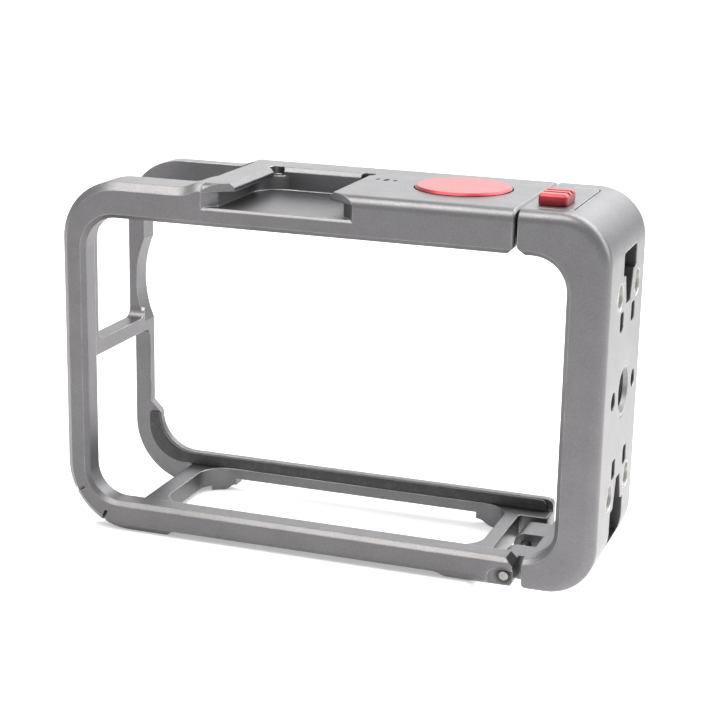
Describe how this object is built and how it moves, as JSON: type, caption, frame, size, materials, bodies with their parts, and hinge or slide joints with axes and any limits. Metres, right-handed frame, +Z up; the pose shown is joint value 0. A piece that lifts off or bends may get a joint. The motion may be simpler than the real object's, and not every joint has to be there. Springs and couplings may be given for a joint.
{
  "type": "camera cage",
  "caption": "Rectangular metal cage for a small action camera, with a hinged end door, a slide lock, a cold shoe on top and a round record button.",
  "frame": {"origin": "middle of the base, in the plane of the feet", "axes": "+X along the cage towards the hinged door, +Y from the screen side to the lens side, +Z up"},
  "size_m": [0.08, 0.025, 0.0546],
  "materials": {
    "grey_anodised": "bead-blasted, grey anodised",
    "red_anodised": "red anodised",
    "steel": "fine ground",
    "black_steel": "black oxide",
    "nickel": "nickel plated",
    "brass": "turned",
    "white_plastic": "acetal",
    "silicone": "matt silicone"
  },
  "bodies": {
    "frame": {"main_frame": "grey_anodised", "hinge_pin": "steel", "keeper_plate": "steel", "keeper_screws": "black_steel", "record_bush": "brass", "record_spring": "steel", "far_lip_pad": "silicone", "ceiling_pad": "silicone"},
    "door": {"side_door": "grey_anodised", "lock_cover": "grey_anodised", "lock_cover_screws": "black_steel", "lock_leaf_spring": "steel", "thread_insert": "steel", "side_magnets": "nickel", "door_pad": "silicone"},
    "lock": {"lock_bolt": "steel", "lock_button": "red_anodised", "lock_button_screw": "black_steel"},
    "record_button": {"record_cap": "red_anodised", "record_plunger": "white_plastic", "record_clip": "steel"}
  },
  "joints": [
    {"name": "door_hinge", "type": "hinge", "parent": "frame", "child": "door", "pos_m": [0.0274, 0, 0.0018], "axis": [0, 1, 0], "range_deg": [0, 95]},
    {"name": "lock_slide", "type": "slide", "parent": "door", "child": "lock", "axis": [0, 1, 0], "range_m": [0, 0.0026]},
    {"name": "record_press", "type": "slide", "parent": "frame", "child": "record_button", "axis": [0, 0, -1], "range_m": [0, 0.0009], "stiffness_N_per_m": 300, "springref_m": -0.0005, "deforming": ["record_spring"]}
  ]
}
